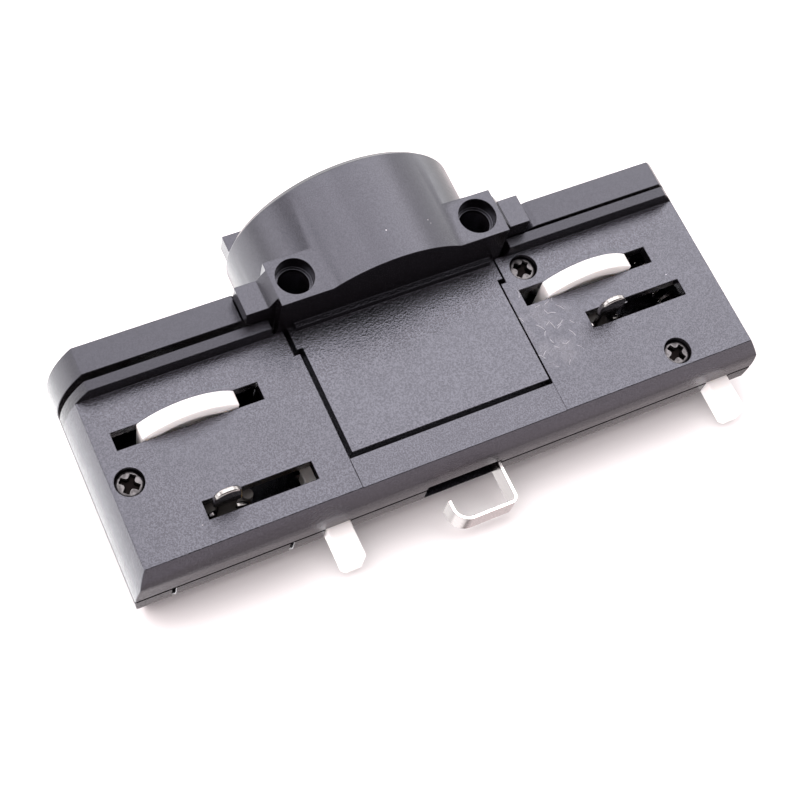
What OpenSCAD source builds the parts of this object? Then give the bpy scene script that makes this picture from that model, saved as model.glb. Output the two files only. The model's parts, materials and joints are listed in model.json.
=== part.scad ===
// Track light adapter: a two shell body with turning lock cams, contact tongues and a lamp saddle.
// The origin is the middle of the drum's end face. The lamp hangs below it and the track is above.
// The face with the contact slots looks along minus Y.

/* [Body] */
// Length over the rounded ends
body_len = 111; // [109:0.5:126]
// Thickness of the two shells together
body_thick = 16.5; // [16:0.5:19]
// Height of the body above its flange
body_h = 30.3; // [29.5:0.1:34]
// Radius of the rounded ends
end_r = 17.2; // [16:0.1:18.5]
// Wall of the shells
shell_wall = 2; // [1.6:0.1:2.4]
// Reach of the long top bevels across the thickness
bevel_y = 3.05; // [1:0.05:3.5]
// Height of the long top bevels
bevel_z = 1.8; // [1:0.1:1.9]
// Overhang of the flange past the faces
flange_out = 3; // [2:0.1:4]
// Height of the flange
flange_h = 1.8; // [1.2:0.1:2.4]
// Reach of the back shell's long top bevel across the thickness
back_bevel_y = 5; // [1:0.05:5.5]
// Width of the groove along the seam of the shells
seam_w = 0.35; // [0.2:0.05:0.45]
// Depth of the groove along the seam
seam_deep = 0.8; // [0.4:0.1:1]
// Reach of the back shell's snap tab from the neutral axis towards the middle
tab_in = 8.6; // [6:0.1:10]
// Reach of the snap tab from the neutral axis towards the end
tab_end = 10.9; // [6:0.1:12]
// Width of the slits beside the snap tab
tab_slit = 0.6; // [0.4:0.05:0.8]

/* [Levers] */
// Distance from the phase end's arc centre in to the phase lever's axis
phase_inset = 5.9; // [2:0.1:6]
// Height of a lever
lever_h = 4.8; // [4:0.1:5.4]
// Gap between the neutral lever and the flange
neutral_lever_gap = 1.1; // [0.3:0.05:1.4]
// Gap between the phase lever and the flange
phase_lever_gap = 0.45; // [0.3:0.05:1.4]
// Gap between a lever and what it sweeps past
sweep_gap = 0.4; // [0.3:0.05:0.6]

/* [Rotors] */
// Radius of the lock cam's round lobes
cam_r = 11.8; // [10.5:0.1:12.4]
// Distance across the lock cam's flats
cam_flats = 15.8; // [13:0.1:16]
// Thickness of the lock cam
cam_h = 2.6; // [2:0.1:3.2]
// Width of the raised rim round the lock cam's upper face
cam_rim_w = 2.5; // [2:0.1:3]
// Depth of the dished upper face inside that rim
cam_dish = 0.7; // [0.4:0.1:0.9]
// Height of the lock cam above the flange
cam_rise = 6.6; // [6:0.1:8]
// Radius of the spindle where it runs in the floor
journal_r = 5.5; // [5:0.1:5.8]
// Radius of the spindle's top pin
pin_r = 3; // [2.4:0.1:3.2]

/* [Contacts] */
// Reach of a contact tongue from its axis
blade_reach = 13.75; // [12:0.05:14]
// Width of a contact tongue
blade_w = 4.6; // [3.6:0.1:5]
// Thickness of the contact sheet
blade_t = 1; // [0.8:0.1:1.4]
// Depth of the neutral tongue's middle below the top
neutral_blade_drop = 7.15; // [6.7:0.05:7.8]
// Depth of the phase tongue's middle below the top
phase_blade_drop = 14.9; // [13:0.05:16.5]
// Height of a contact slot
blade_slot_h = 3; // [2.4:0.1:3.6]

/* [Plungers] */
// Distance from a turning axis to its plunger
plunger_offset = 16.5; // [16.5:0.1:17]
// Width of a plunger along the body
plunger_w = 4.1; // [3.4:0.1:4.2]
// Depth of a plunger across the body
plunger_d = 3.6; // [3:0.1:3.8]
// Height that a plunger stands out of the top
plunger_out = 6.7; // [5.5:0.1:8]
// Stroke of a plunger
plunger_stroke = 5; // [3:0.5:5]
// Wire of the plunger springs
spring_wire = 0.5; // [0.4:0.05:0.6]

/* [Earth hook] */
// Width of the strip
strip_w = 4.4; // [4:0.1:5]
// Thickness of the strip
strip_t = 0.55; // [0.4:0.05:0.8]
// Height of the hook above the top
hook_rise = 7.3; // [6:0.1:9]
// Length of the hook along the body
hook_len = 11; // [9:0.1:12]
// Length of the free end that turns back
hook_tip = 4.2; // [2.5:0.1:5]
// Inner radius of the strip's bends at its foot and where the hook begins
hook_bend_r = 0.8; // [0.6:0.1:1.6]
// Inner radius of the wider bend before the turned back tip
tip_bend_r = 2.3; // [1:0.1:2.7]

/* [Lamp saddle] */
// Diameter of the drum
drum_d = 41; // [40:0.1:41.4]
// Height of the drum
drum_h = 19.4; // [18:0.1:21]
// Bevel of the drum's end
drum_bevel = 1; // [0.4:0.1:1.6]
// Start of a side boss from the middle
boss_in = 10.5; // [9:0.1:11.5]
// End of a side boss from the middle
boss_out = 19.9; // [19.5:0.1:20.4]
// Reach of the side bosses from the middle plane
boss_y = 17.2; // [16.5:0.1:19]
// Height of the side bosses
boss_h = 8; // [7:0.1:9]
// Distance of the side holes from the middle
side_hole_x = 16; // [15.6:0.1:16.2]
// Radius of the mouth of the side holes
side_mouth_r = 3.1; // [2.7:0.1:3.3]
// Radius of the thread core in the side holes
side_thread_r = 2.5; // [2:0.1:2.6]
// Reach of the front shoulders along the body
shoulder_x = 25; // [23:0.1:25.5]
// Reach of the front shoulders from the middle plane
shoulder_y = 14.75; // [13:0.05:15.5]
// Height of the front shoulders
shoulder_h = 5.2; // [4:0.1:5.2]
// Width of the tongues
tongue_w = 35; // [32:0.5:35]
// Width of the tongues at their root
tongue_root_w = 37; // [36:0.5:37]
// Height of the wide root
tongue_root_h = 3.9; // [3:0.1:6]
// Length of the tongues
tongue_h = 23; // [18:0.5:24]
// Thickness of the tongues
tongue_t = 2.5; // [2:0.1:2.5]
// Radius of the well in the drum's end
well_r = 13.5; // [12:0.1:13.6]
// Depth of the well
well_h = 9; // [6:0.1:9]
// Length of a key lug on the drum's end
key_len = 6.3; // [4:0.1:6.4]
// Thickness of the key lugs
key_t = 4; // [3:0.1:5]
// Height of the key lugs
key_h = 2.9; // [2:0.1:5]
// Core radius of the lamp nut's thread
nut_core_r = 4.5; // [4:0.1:4.6]
// Distance across the flats of the lamp nut
nut_flats = 14; // [13:0.1:15]
// Height of the lamp nut
nut_h = 4; // [3:0.1:5]

/* [Fasteners] */
// Radius of a shell screw's head
head_r = 2; // [1.8:0.05:2.1]
// Height of a shell screw's head
head_h = 1.4; // [1.2:0.1:1.6]
// Radius of a shell screw's shank
shank_r = 1.25; // [1:0.05:1.3]

/* [Fits] */
// Running clearance of turning and pressed pieces
run_fit = 0.05; // [0.03:0.01:0.08]
// Clearance round pieces that slide or are laid in
slide_fit = 0.15; // [0.1:0.05:0.2]
// Gap beside the tongues
tongue_gap = 0.5; // [0.4:0.05:0.6]
// Gap past the end of the tongues
tongue_end_gap = 0.75; // [0.4:0.05:0.9]
// Sideways set of the tongues in their recesses
tongue_shift = 0.3; // [0:0.05:0.3]

/* [Hidden] */
$fn = 64;

black_plastic = [0.13, 0.13, 0.14];
white_plastic = [0.95, 0.95, 0.94];
plated_steel = [0.78, 0.78, 0.76];
brass = [0.80, 0.66, 0.34];
dark_steel = [0.30, 0.30, 0.31];
far = 200;
over = 1;
eps = 0.01;

body_half = body_thick / 2;
end_c = body_len / 2 - end_r;
neutral_x = end_c;
phase_x = phase_inset - end_c;
flange_step = 0.4;
flange_top = drum_h + flange_step;
seat_z = flange_top - flange_h;
top_z = flange_top + body_h;
floor_web = 1.2;
floor_z = drum_h + floor_web;
floor_t = floor_z - seat_z;
roof_z = top_z - shell_wall;
inner_half = body_half - shell_wall;
lever_half = body_half + flange_out;
neutral_inner_r = neutral_x - drum_d / 2 - sweep_gap;
phase_inner_r = -phase_x - drum_d / 2 - sweep_gap;

neutral_lever_top = seat_z - neutral_lever_gap;
phase_lever_top = seat_z - phase_lever_gap;
lever_hole_gap = 0.4;
lever_hole_r = shank_r + lever_hole_gap;
lever_head_sink = 0.1;
lever_head_h = head_h + lever_head_sink;
lever_web = 0.8;
corner_r = 2.5;
spigot_side = 7;
spigot_h = lever_h - lever_head_h - lever_web;
lever_screw_len = 12;

cam_z = flange_top + cam_rise;
cam_slot_gap = 0.2;
thrust_lip = 0.7;
thrust_r = journal_r + thrust_lip;
thrust_h = 2;
thrust_gap = 0.1;
shaft_step = 0.5;
shaft_r = journal_r - shaft_step;
pin_step = 0.4;
blade_pin_r = pin_r + pin_step;
blade_flat_depth = 0.6;
blade_flat = blade_pin_r - blade_flat_depth;
bearing_h = 2;
bearing_wall = 1.8;
pin_end_gap = 0.4;
stop_peg_r = 0.85;
stop_peg_x = 4.4;
stop_peg_reach = 4.3;
stop_peg_drop = 0.15;

neutral_blade_z = top_z - neutral_blade_drop;
phase_blade_z = top_z - phase_blade_drop;
hub_r = 6;
neck_w = 3.4;
blade_side_gap = 1;
blade_tip_gap = 0.85;
wiper_t = 0.4;
wiper_w = 3;
wiper_y = -1.9;
wiper_gap = 0.1;
wiper_end_gap = 0.6;

terminal_x = 13;
terminal_size = [6, 6.4, 7];
terminal_screw_grip = 3;
terminal_hole_r = 1.3;
earth_shelf_t = 1.5;
earth_shelf_len = 10;
earth_block_rise = 10.7;
earth_block_z = floor_z + earth_block_rise;

plunger_y = slide_fit + plunger_d / 2;
collar_out = 1.5;
collar_w = plunger_d + 2 * collar_out;
collar_h = 3;
collar_gap = 0.3;
guide_t = 1.8;
guide_wall = 1.2;
guide_drop = 11.9;
guide_z = top_z - guide_drop;
collar_top = guide_z - collar_gap;
spring_closed = 6;
spring_len = plunger_stroke + spring_closed;
spring_seat_t = 1.5;
spring_seat_z = collar_top - collar_h - spring_len;
spring_r = 1.55;
spring_turns = 6;
spigot_pin_r = 0.9;
spigot_pin_h = 1.6;
plunger_bevel = 0.7;

hook_x = -6.4;
hook_y = 1.15;
hook_slot_gap = 0.3;
hook_slot_end = 2;
earth_foot_len = 9;

boss_z = drum_h - boss_h;
side_hole_drop = 4.15;
side_hole_z = drum_h - side_hole_drop;
side_mouth_h = 2.5;
side_hole_h = 11;
shoulder_gap = 0.1;
shoulder_top = seat_z - shoulder_gap;
shoulder_bevel = 1.5;
boss_gap = 1.3;
drum_gap = 0.5;
flange_gap_x = max(boss_out + boss_gap, drum_d / 2 + drum_gap);
root_rib_h = 0.9;
root_rib_out = 1.4;
lining_t = 1.6;
lining_side = 1.2;
tongue_fit = 0.1;
face_step = 0.08;
nut_z = drum_h - nut_h;
tube_gap = 0.7;
tube_hole_r = nut_core_r + tube_gap;
cable_step = 0.5;
cable_hole_r = nut_core_r - cable_step;
key_inset = 0.7;
key_x = drum_d / 2 - key_inset;

end_screw_inset = 5.1;
end_screw_drop = 15.5;
low_screw_inset = 9.35;
low_screw_rise = 2.7;
high_screw_out = 8.1;
high_screw_drop = 4.6;
// Shell screws as [along the body, height]
SCREWS = [
    [body_len / 2 - end_screw_inset, top_z - end_screw_drop],
    [phase_x + low_screw_inset, flange_top + low_screw_rise],
    [phase_x - high_screw_out, top_z - high_screw_drop]];
post_r = 2.9;
head_gap = 0.3;
head_hole_r = head_r + head_gap;
head_depth = 0.7;
screw_hole_r = shank_r + slide_fit;
pilot_end = 0.4;
pilot_r = shank_r + run_fit;
screw_len = 12.5;
cross_len = 3.1;
cross_w = 0.85;
cross_deep = 0.9;

// Keeps the front half (side -1) or the back half (side 1) of its children
module half(side) {
    intersection() {
        children();
        translate([-far / 2, side < 0 ? -far : 0, -far / 2]) cube([far, far, far]);
    }
}

// Plan outline with round ends, for a given half width, drawn in by inset
module body_plan(half_w, inset = 0) {
    intersection() {
        square([body_len, 2 * half_w], center = true);
        union() {
            square([2 * end_c, 4 * end_r], center = true);
            for (s = [-1, 1]) translate([s * end_c, 0]) circle(r = end_r - inset);
        }
    }
}

// Section across the body with its two long top bevels
module bevel_section() {
    polygon([
        [-body_half, seat_z - over], [body_half, seat_z - over],
        [body_half, top_z - bevel_z], [body_half - back_bevel_y, top_z],
        [-body_half + bevel_y, top_z], [-body_half, top_z - bevel_z]]);
}

// Outside of the body with its flange, before it is split into shells
module body_block() {
    intersection() {
        translate([0, 0, seat_z]) linear_extrude(top_z - seat_z) body_plan(body_half);
        rotate([90, 0, 90]) linear_extrude(far, center = true) bevel_section();
    }
    translate([0, 0, seat_z]) linear_extrude(flange_h) body_plan(lever_half);
}

// Room that the saddle takes at the middle of the body's foot
module saddle_notch() {
    translate([-flange_gap_x, -far / 2, seat_z - eps])
        cube([2 * flange_gap_x, far, drum_h - seat_z + eps]);
    for (s = [-1, 1])
        translate([-flange_gap_x, s > 0 ? body_half : -far - body_half, seat_z - eps])
            cube([2 * flange_gap_x, far, flange_h + 2 * eps]);
}

// A tongue's outline seen on the face, grown at its sides and at its end
module tongue_outline(side_gap = 0, end_gap = 0) {
    for (step = [[tongue_root_w, tongue_root_h], [tongue_w, tongue_h]])
        translate([-step[0] / 2 - side_gap, drum_h]) square([step[0] + 2 * side_gap, step[1] + end_gap]);
}

// A flat plate standing on one face of the body, from depth a to depth b below that face
module face_plate(side, a, b) {
    translate([0, side * (body_half - (side > 0 ? a : b)), 0])
        rotate([90, 0, 0]) linear_extrude(b - a) children();
}

// Slot through one wall of the body, given along the body and in height
module wall_slot(side, x0, x1, z0, z1) {
    translate([x0, side > 0 ? inner_half - over : -body_half - over, z0])
        cube([x1 - x0, shell_wall + 2 * over, z1 - z0]);
}

// Slots of one end: both lock cam slots and the contact slot in the front face
module end_slots(x, blade_z) {
    reach = cam_r + cam_slot_gap;
    for (side = [-1, 1])
        wall_slot(side, x - reach, x + reach, cam_z - cam_slot_gap, cam_z + cam_h + cam_slot_gap);
    wall_slot(-1, x - blade_reach - blade_tip_gap, x + blade_w / 2 + blade_side_gap,
        blade_z - blade_slot_h / 2, blade_z + blade_slot_h / 2);
}

// Hollow of the body: one long room with the floor below it and the roof above it
module body_room() {
    translate([0, 0, floor_z]) linear_extrude(roof_z - floor_z) body_plan(inner_half, shell_wall);
}

// Inner wall behind a tongue's recess
module recess_lining(side) {
    depth = tongue_t + tongue_fit + lining_t;
    face_plate(side, shell_wall / 2, depth)
        tongue_outline(tongue_gap + lining_side, tongue_end_gap + lining_side);
}

// Recess of a tongue, and the shallow step in the face between the recess and the top
module tongue_recess(side) {
    face_plate(side, -over, tongue_t + tongue_fit) tongue_outline(tongue_gap, tongue_end_gap);
    face_plate(side, -over, face_step) translate([-tongue_w / 2 - tongue_gap, drum_h])
        square([tongue_w + 2 * tongue_gap, far]);
}

// Half rings that hold the spindles' top pins
module bearing_rings() {
    for (x = [neutral_x, phase_x])
        translate([x, 0, roof_z - bearing_h]) cylinder(r = pin_r + bearing_wall, h = bearing_h + eps);
}

module bearing_bores() {
    for (x = [neutral_x, phase_x]) {
        translate([x, 0, seat_z - over]) cylinder(r = journal_r + run_fit, h = floor_t + 2 * over);
        translate([x, 0, roof_z - bearing_h - over]) cylinder(r = pin_r + run_fit, h = bearing_h + over);
    }
}

// Screw posts of one shell, from its wall to the middle plane
module screw_posts(side) {
    for (s = SCREWS)
        translate([s[0], side < 0 ? 0 : inner_half + eps, s[1]])
            rotate([90, 0, 0]) cylinder(r = post_r, h = inner_half + eps);
}

// Guide and spring seat of one plunger, in the back shell
module plunger_guide(x) {
    room = plunger_w + 2 * guide_wall;
    difference() {
        translate([x - room / 2, 0, guide_z]) cube([room, inner_half + eps, guide_t]);
        translate([x - plunger_w / 2 - slide_fit, -over, guide_z - over])
            cube([plunger_w + 2 * slide_fit, over + plunger_d + 2 * slide_fit, guide_t + 2 * over]);
    }
    translate([x - room / 2, 0, spring_seat_z - spring_seat_t])
        cube([room, inner_half + eps, spring_seat_t]);
    translate([x, plunger_y, spring_seat_z - eps]) cylinder(r = spigot_pin_r, h = spigot_pin_h);
}

// Openings of the roof: the two plunger slots and the earth hook's slot
module roof_openings() {
    for (x = [neutral_x, phase_x])
        translate([x - plunger_offset - plunger_w / 2 - slide_fit, 0, roof_z - over])
            cube([plunger_w + 2 * slide_fit, plunger_d + 2 * slide_fit, shell_wall + 2 * over]);
    translate([hook_x - strip_t / 2 - hook_slot_gap, hook_y - strip_w / 2 - hook_slot_gap, roof_z - over])
        cube([hook_len + hook_slot_gap + hook_slot_end, strip_w + 2 * hook_slot_gap, shell_wall + 2 * over]);
}

// Groove in the front shell along its seam, up both ends and over the roof
module seam_groove() {
    rotate([90, 0, 0]) linear_extrude(seam_w) difference() {
        square([far, far], center = true);
        translate([seam_deep - body_len / 2, seat_z - over])
            square([body_len - 2 * seam_deep, top_z - seam_deep - seat_z + over]);
    }
}

// Slits in the back shell's roof that free a snap tab over the neutral spindle
module tab_slits() {
    for (x = [neutral_x - tab_in, neutral_x + tab_end])
        translate([x - tab_slit / 2, -over, roof_z - over])
            cube([tab_slit, over + inner_half, shell_wall + 2 * over]);
}

// One shell without its screw holes
module shell(side) {
    difference() {
        half(side) union() {
            difference() {
                body_block();
                body_room();
            }
            recess_lining(side);
            bearing_rings();
            screw_posts(side);
        }
        saddle_notch();
        tongue_recess(side);
        end_slots(neutral_x, neutral_blade_z);
        end_slots(phase_x, phase_blade_z);
        bearing_bores();
        roof_openings();
        translate([0, 0, seat_z - over]) cylinder(r = cable_hole_r, h = floor_t + 2 * over);
    }
}

module front_shell() {
    color(black_plastic) difference() {
        shell(-1);
        seam_groove();
        for (s = SCREWS) translate([s[0], 0, s[1]]) rotate([90, 0, 0]) {
            translate([0, 0, -over]) cylinder(r = screw_hole_r, h = body_half + 2 * over);
            translate([0, 0, body_half - head_depth - head_h]) cylinder(r = head_hole_r, h = far);
        }
    }
}

module back_shell() {
    color(black_plastic) {
        difference() {
            shell(1);
            tab_slits();
            for (s = SCREWS) translate([s[0], -over, s[1]])
                rotate([-90, 0, 0]) cylinder(r = pilot_r, h = over + inner_half + pilot_end);
        }
        for (x = [neutral_x, phase_x]) plunger_guide(x - plunger_offset);
        translate([-earth_shelf_len / 2, slide_fit, earth_block_z - earth_shelf_t])
            cube([earth_shelf_len, body_half - tongue_t - lining_t - slide_fit, earth_shelf_t]);
    }
}

// Side holes of the bosses: a plain mouth and a threaded core
module side_holes() {
    for (side = [-1, 1], end = [-1, 1])
        translate([end * side_hole_x, side * boss_y, side_hole_z]) rotate([side * 90, 0, 0]) {
            translate([0, 0, -over]) cylinder(r = side_mouth_r, h = side_mouth_h + over);
            cylinder(r = side_thread_r, h = side_hole_h);
        }
}

// Front shoulder outline in plan, with its slanted step up to the boss
module shoulder_plan() {
    for (s = [-1, 1]) scale([s, 1, 1]) polygon([
        [boss_in, 0], [shoulder_x, 0], [shoulder_x, -shoulder_y],
        [boss_out + shoulder_bevel, -shoulder_y], [boss_out, -boss_y], [boss_in, -boss_y]]);
}

// Front shoulders, hollowed where the levers sweep past
module front_shoulders() {
    translate([0, 0, shoulder_top - shoulder_h]) difference() {
        linear_extrude(shoulder_h) shoulder_plan();
        for (lever = [[neutral_x, max(end_r, neutral_inner_r)], [phase_x, phase_inner_r]])
            translate([lever[0], 0, -over]) cylinder(r = lever[1] + sweep_gap, h = shoulder_h + 2 * over);
    }
}

module lamp_saddle() {
    color(black_plastic) difference() {
        union() {
            rotate_extrude() polygon([[0, 0], [drum_d / 2 - drum_bevel, 0],
                [drum_d / 2, drum_bevel], [drum_d / 2, drum_h], [0, drum_h]]);
            for (side = [-1, 1], end = [-1, 1])
                translate([end > 0 ? boss_in : -boss_out, side > 0 ? 0 : -boss_y, boss_z])
                    cube([boss_out - boss_in, boss_y, boss_h]);
            front_shoulders();
            for (side = [-1, 1]) translate([-tongue_shift, 0, 0]) {
                face_plate(side, 0, tongue_t) tongue_outline();
                face_plate(side, -root_rib_out, 0)
                    translate([-tongue_w / 2, drum_h]) square([tongue_w, root_rib_h]);
            }
            for (end = [-1, 1])
                translate([end > 0 ? key_x - key_len : -key_x, -key_t / 2, -key_h])
                    cube([key_len, key_t, key_h + over]);
        }
        translate([0, 0, -key_h - over]) cylinder(r = well_r, h = well_h + key_h + over);
        translate([0, 0, well_h - over]) cylinder(r = tube_hole_r, h = drum_h);
        translate([0, 0, nut_z])
            cylinder(d = (nut_flats + 2 * slide_fit) / cos(30), h = nut_h + over, $fn = 6);
        side_holes();
    }
}

module lamp_nut() {
    color(plated_steel) translate([0, 0, nut_z]) difference() {
        cylinder(d = nut_flats / cos(30), h = nut_h, $fn = 6);
        translate([0, 0, -over]) cylinder(r = nut_core_r, h = nut_h + 2 * over);
    }
}

// A lever blank with its seat for the spindle and its screw hole; children give its plan
module lever(x, top) {
    color(black_plastic) difference() {
        translate([0, 0, top - lever_h]) linear_extrude(lever_h) children();
        translate([x - spigot_side / 2 - run_fit, -spigot_side / 2 - run_fit, top - spigot_h - run_fit])
            cube([spigot_side + 2 * run_fit, spigot_side + 2 * run_fit, spigot_h + over]);
        translate([x, 0, top - lever_h - over]) {
            cylinder(r = lever_hole_r, h = lever_h);
            cylinder(r = head_hole_r, h = lever_head_h + over);
        }
    }
}

// Plan of a lever: a round inner end about its axis, then out along the body's outline
module lever_plan(x, inner_r) {
    intersection() {
        body_plan(lever_half);
        union() {
            translate([x, 0]) circle(r = inner_r);
            translate([x > 0 ? x : x - far, -far / 2]) square([far, far]);
        }
    }
}

module neutral_lever() {
    lever(neutral_x, neutral_lever_top) lever_plan(neutral_x, neutral_inner_r);
}

// Rounded front corner that the phase lever turns away from the shoulder beside it
module phase_corner() {
    reach = -phase_x - shoulder_x - sweep_gap;
    translate([phase_x, -lever_half + corner_r]) square([reach, lever_half - corner_r]);
    translate([phase_x, -lever_half]) square([reach - corner_r, lever_half]);
    translate([phase_x + reach - corner_r, -lever_half + corner_r]) circle(r = corner_r);
}

module phase_lever() {
    lever(phase_x, phase_lever_top) {
        lever_plan(phase_x, phase_inner_r);
        phase_corner();
    }
}

// A spindle turned about its axis, with the lock cam, the lever's spigot and the blade's seat
module rotor(x, lever_top, blade_z, stop_peg = false) {
    seat = blade_z - blade_t / 2;
    color(white_plastic) translate([x, 0, 0]) difference() {
        union() {
            rotate_extrude() polygon([
                [0, lever_top], [journal_r, lever_top], [journal_r, floor_z + thrust_gap],
                [thrust_r, floor_z + thrust_gap], [thrust_r, floor_z + thrust_gap + thrust_h],
                [shaft_r, floor_z + thrust_gap + thrust_h], [shaft_r, seat], [blade_pin_r, seat],
                [blade_pin_r, roof_z - bearing_h - thrust_gap], [pin_r, roof_z - bearing_h - thrust_gap],
                [pin_r, roof_z - pin_end_gap], [0, roof_z - pin_end_gap]]);
            translate([0, 0, cam_z]) linear_extrude(cam_h) intersection() {
                circle(r = cam_r);
                square([cam_flats, far], center = true);
            }
            translate([-spigot_side / 2, -spigot_side / 2, lever_top - spigot_h])
                cube([spigot_side, spigot_side, spigot_h + over]);
            if (stop_peg) translate([-stop_peg_x, 0, seat - stop_peg_r - stop_peg_drop])
                rotate([90, 0, 0]) cylinder(r = stop_peg_r, h = stop_peg_reach);
        }
        translate([0, 0, cam_z + cam_h - cam_dish]) difference() {
            cylinder(r = cam_r - cam_rim_w, h = cam_dish + over);
            translate([0, 0, -over]) cylinder(r = shaft_r, h = cam_dish + 3 * over);
        }
        translate([blade_flat, -far / 2, seat]) cube([far, far, blade_t]);
        translate([0, 0, lever_top - lever_h]) cylinder(r = pilot_r, h = lever_screw_len + over);
    }
}

module neutral_rotor() {
    rotor(neutral_x, neutral_lever_top, neutral_blade_z, stop_peg = true);
}

module phase_rotor() {
    rotor(phase_x, phase_lever_top, phase_blade_z);
}

// Cross recess of a screw head, cut down from z = 0
module cross_recess() {
    for (turn = [0, 90]) rotate([0, 0, turn])
        translate([-cross_len / 2, -cross_w / 2, -cross_deep]) cube([cross_len, cross_w, cross_deep + over]);
}

// A pan head screw with its head's top at z = 0, pointing down
module screw(length, shank) {
    color(dark_steel) difference() {
        union() {
            translate([0, 0, -head_h]) cylinder(r = head_r, h = head_h);
            translate([0, 0, -length]) cylinder(r = shank, h = length - head_h + eps);
        }
        cross_recess();
    }
}

module lever_screw(x, lever_top) {
    head_z = lever_top - lever_h + lever_head_h - head_h;
    translate([x, 0, head_z]) rotate([180, 0, 0]) screw(lever_screw_len, shank_r);
}

module neutral_lever_screw() {
    lever_screw(neutral_x, neutral_lever_top);
}

module phase_lever_screw() {
    lever_screw(phase_x, phase_lever_top);
}

module shell_screws() {
    for (s = SCREWS)
        translate([s[0], -body_half + head_depth, s[1]]) rotate([90, 0, 0]) screw(screw_len, shank_r);
}

// A contact tongue stamped from sheet: a hub ring, a neck and a wider rounded head
module blade(x, z) {
    head_c = blade_reach - blade_w / 2;
    color(plated_steel) translate([x, 0, z - blade_t / 2]) linear_extrude(blade_t) difference() {
        union() {
            circle(r = hub_r);
            translate([-neck_w / 2, -head_c]) square([neck_w, head_c]);
            translate([0, -head_c]) circle(d = blade_w);
            translate([-blade_w / 2, -head_c]) square([blade_w, blade_w / 2]);
        }
        intersection() {
            circle(r = blade_pin_r + run_fit);
            translate([-far + blade_flat + run_fit, -far / 2]) square([far, far]);
        }
    }
}

module neutral_blade() {
    blade(neutral_x, neutral_blade_z);
}

module phase_blade() {
    blade(phase_x, phase_blade_z);
}

// A spring strip from its terminal, up and then out over a blade's hub
module wiper(x, blade_z) {
    end = x > 0 ? 1 : -1;
    foot = terminal_x + terminal_size[0] / 2;
    arm_z = blade_z + blade_t / 2 + wiper_gap;
    reach = abs(x) - blade_pin_r - wiper_end_gap;
    color(brass) translate([0, wiper_y - wiper_w / 2, 0]) scale([end, 1, 1]) {
        translate([foot, 0, floor_z]) cube([wiper_t, wiper_w, arm_z + wiper_t - floor_z]);
        translate([foot, 0, arm_z]) cube([reach - foot, wiper_w, wiper_t]);
    }
}

module neutral_wiper() {
    wiper(neutral_x, neutral_blade_z);
}

module phase_wiper() {
    wiper(phase_x, phase_blade_z);
}

// A clamp block with a wire hole along the body's height and a screw hole from the top
module terminal(x, z) {
    color(brass) translate([x, 0, z]) difference() {
        translate([-terminal_size[0] / 2, -terminal_size[1] / 2, 0]) cube(terminal_size);
        translate([0, 0, terminal_size[2] / 2]) cylinder(r = terminal_hole_r, h = terminal_size[2]);
        translate([0, 0, terminal_size[2] / 4])
            rotate([90, 0, 0]) cylinder(r = terminal_hole_r, h = far, center = true);
    }
}

module neutral_terminal() {
    terminal(terminal_x, floor_z);
}

module phase_terminal() {
    terminal(-terminal_x, floor_z);
}

module earth_terminal() {
    terminal(0, earth_block_z);
}

module terminal_screws() {
    top = terminal_size[2];
    for (place = [[terminal_x, floor_z], [-terminal_x, floor_z], [0, earth_block_z + strip_t]])
        translate([place[0], 0, place[1] + top + head_h]) screw(head_h + terminal_screw_grip, shank_r);
}

// Quarter of a strip bend, from along +X to along +Y, about the point at its middle
module strip_bend(r) {
    difference() {
        intersection() {
            circle(r = r + strip_t);
            square(r + strip_t);
        }
        circle(r = r);
    }
}

// Earth strip seen along Y: foot on its terminal, upright leg, hook and turned back tip
module strip_outline() {
    r = hook_bend_r;
    out = r + strip_t;
    tip_out = tip_bend_r + strip_t;
    foot_z = earth_block_z + terminal_size[2];
    hook_z = top_z + hook_rise;
    left = hook_x - strip_t / 2;
    right = left + hook_len;
    translate([left + out, foot_z]) square([earth_foot_len - out, strip_t]);
    translate([left + out, foot_z + out]) rotate(180) strip_bend(r);
    translate([left, foot_z + out]) square([strip_t, hook_z - foot_z - 2 * out]);
    translate([left + out, hook_z - out]) rotate(90) strip_bend(r);
    translate([left + out, hook_z - strip_t]) square([hook_len - out - tip_out, strip_t]);
    translate([right - tip_out, hook_z - tip_out]) strip_bend(tip_bend_r);
    translate([right - strip_t, hook_z - hook_tip]) square([strip_t, hook_tip - tip_out]);
}

module earth_spring() {
    color(plated_steel) difference() {
        translate([0, hook_y + strip_w / 2, 0]) rotate([90, 0, 0]) linear_extrude(strip_w) strip_outline();
        translate([0, 0, earth_block_z]) cylinder(r = screw_hole_r, h = terminal_size[2] + 2 * over);
    }
}

// A plunger: the peg with its bevelled tip, the collar that stops it and the spring's pin
module plunger(x) {
    tip_z = top_z + plunger_out;
    half_w = plunger_w / 2;
    color(white_plastic) translate([x, plunger_y, 0]) {
        translate([0, plunger_d / 2, 0]) rotate([90, 0, 0]) linear_extrude(plunger_d) polygon([
            [-half_w, collar_top - eps], [half_w, collar_top - eps], [half_w, tip_z - plunger_bevel],
            [half_w - plunger_bevel, tip_z], [plunger_bevel - half_w, tip_z],
            [-half_w, tip_z - plunger_bevel]]);
        translate([-half_w, -collar_w / 2, collar_top - collar_h]) cube([plunger_w, collar_w, collar_h]);
        translate([0, 0, collar_top - collar_h - spigot_pin_h])
            cylinder(r = spigot_pin_r, h = spigot_pin_h + over);
    }
}

module neutral_plunger() {
    plunger(neutral_x - plunger_offset);
}

module phase_plunger() {
    plunger(phase_x - plunger_offset);
}

// One ring of a coil spring's wire at turn angle a and height z
function wire_ring(a, z, sides) = [for (k = [0 : sides - 1])
    let (b = 360 * k / sides, r = spring_r + spring_wire / 2 * cos(b))
    [r * cos(a), r * sin(a), z + spring_wire / 2 * sin(b)]];

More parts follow.
